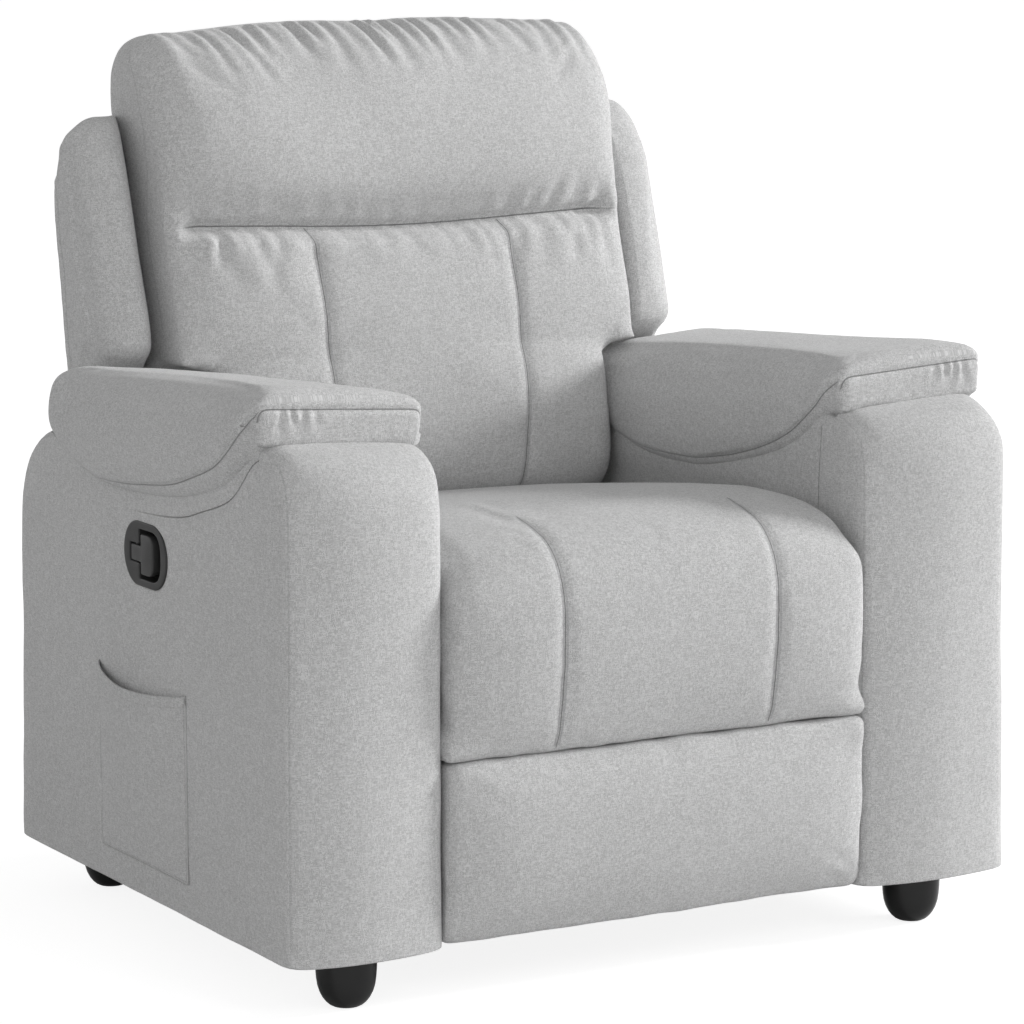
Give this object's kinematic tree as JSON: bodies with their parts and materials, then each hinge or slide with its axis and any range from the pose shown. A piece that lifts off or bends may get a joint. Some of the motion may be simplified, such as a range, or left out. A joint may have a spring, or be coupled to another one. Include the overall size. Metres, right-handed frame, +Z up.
{
  "type": "recliner armchair",
  "caption": "Upholstered recliner armchair with saddle arm pads, a channelled back, a fold-out footrest on a link mechanism and a release lever in the arm.",
  "frame": {"origin": "centre of the bounding box's underside, on the floor between the four feet", "axes": "+Z up, -Y is the front that the sitter faces, +X is the sitter's left"},
  "size_m": [0.9133, 0.806, 1.0149],
  "materials": {
    "cloth": "light grey linen-look woven polyester",
    "foot_plastic": "black, glossy",
    "cup_plastic": "dark grey, fine satin",
    "lever_plastic": "near-black, satin",
    "wood": "plain plywood and softwood, unfinished",
    "painted_steel": "black powder coat",
    "spring_steel": "bare drawn wire"
  },
  "bodies": {
    "base": {"arm_cover_left": "cloth", "arm_cover_right": "cloth", "arm_inner_panel_left": "wood", "arm_inner_panel_right": "wood", "arm_bottom_board_left": "wood", "arm_bottom_board_right": "wood", "arm_pad_left": "cloth", "arm_pad_right": "cloth", "foot_front_left": "foot_plastic", "foot_front_right": "foot_plastic", "foot_rear_left": "foot_plastic", "foot_rear_right": "foot_plastic", "base_side_plate_left": "painted_steel", "base_side_plate_right": "painted_steel", "side_pocket": "cloth", "lever_bezel": "cup_plastic", "lever_pin": "spring_steel", "base_cross_tube_front": "painted_steel", "base_cross_tube_rear": "painted_steel"},
    "release_lever": {"release_lever": "lever_plastic"},
    "back": {"back_bracket_left": "painted_steel", "back_bracket_right": "painted_steel", "back_stile_left": "wood", "back_stile_right": "wood", "wing_left": "cloth", "wing_right": "cloth", "back_rail_lower": "wood", "back_rail_upper": "wood", "back_cushion": "cloth", "back_panel": "cloth"},
    "swing_links": {"swing_link_left": "painted_steel", "swing_link_right": "painted_steel"},
    "seat": {"seat_side_plate_left": "painted_steel", "seat_side_plate_right": "painted_steel", "seat_side_rail_left": "wood", "seat_side_rail_right": "wood", "seat_front_rail": "wood", "seat_rear_rail": "wood", "seat_spring_1": "spring_steel", "seat_spring_2": "spring_steel", "seat_spring_3": "spring_steel", "seat_spring_4": "spring_steel", "seat_cushion": "cloth"},
    "lift_links": {"lift_link_left": "painted_steel", "lift_link_right": "painted_steel", "torque_tube": "painted_steel"},
    "guide_links": {"guide_link_left": "painted_steel", "guide_link_right": "painted_steel"},
    "reach_links": {"reach_link_left": "painted_steel", "reach_link_right": "painted_steel"},
    "tilt_links": {"tilt_link_left": "painted_steel", "tilt_link_right": "painted_steel"},
    "footrest": {"footrest_bracket_left": "painted_steel", "footrest_bracket_right": "painted_steel", "footrest_board": "wood", "footrest_pad": "cloth"}
  },
  "joints": [
    {"name": "recline", "type": "hinge", "parent": "base", "child": "back", "pos_m": [0, 0.207, 0.4], "axis": [-1, 0, 0], "range_deg": [0, 40]},
    {"name": "swing", "type": "hinge", "parent": "base", "child": "swing_links", "pos_m": [0, -0.008, 0.39], "axis": [-1, 0, 0], "range_deg": [0, 40]},
    {"name": "seat_level", "type": "hinge", "parent": "back", "child": "seat", "pos_m": [0, 0.182, 0.3], "axis": [-1, 0, 0], "range_deg": [-40, 0]},
    {"name": "footrest", "type": "hinge", "parent": "seat", "child": "lift_links", "pos_m": [0, -0.235, 0.29], "axis": [-1, 0, 0], "range_deg": [0, 92]},
    {"name": "guide", "type": "hinge", "parent": "seat", "child": "guide_links", "pos_m": [0, -0.17654, 0.2765], "axis": [-1, 0, 0], "range_deg": [0, 92]},
    {"name": "reach", "type": "hinge", "parent": "lift_links", "child": "reach_links", "pos_m": [0, -0.14761, 0.09435], "axis": [-1, 0, 0], "range_deg": [-92, 0]},
    {"name": "tilt", "type": "hinge", "parent": "lift_links", "child": "tilt_links", "pos_m": [0, -0.168, 0.14], "axis": [-1, 0, 0], "range_deg": [-92, 0]},
    {"name": "footrest_turn", "type": "hinge", "parent": "reach_links", "child": "footrest", "pos_m": [0, -0.29761, 0.21235], "axis": [-1, 0, 0], "range_deg": [0, 92]},
    {"name": "release", "type": "hinge", "parent": "base", "child": "release_lever", "pos_m": [-0.4458, -0.002, 0.446], "axis": [0, 0, -1], "range_deg": [0, 30], "stiffness_Nm_per_rad": 0.2, "springref_deg": -17.19}
  ],
  "couplings": [
    {"joint": "swing", "follows": "recline", "ratio": 1},
    {"joint": "seat_level", "follows": "recline", "ratio": -1},
    {"joint": "guide", "follows": "footrest", "ratio": 1},
    {"joint": "reach", "follows": "footrest", "ratio": -1},
    {"joint": "tilt", "follows": "footrest", "ratio": -1},
    {"joint": "footrest_turn", "follows": "footrest", "ratio": 1}
  ]
}
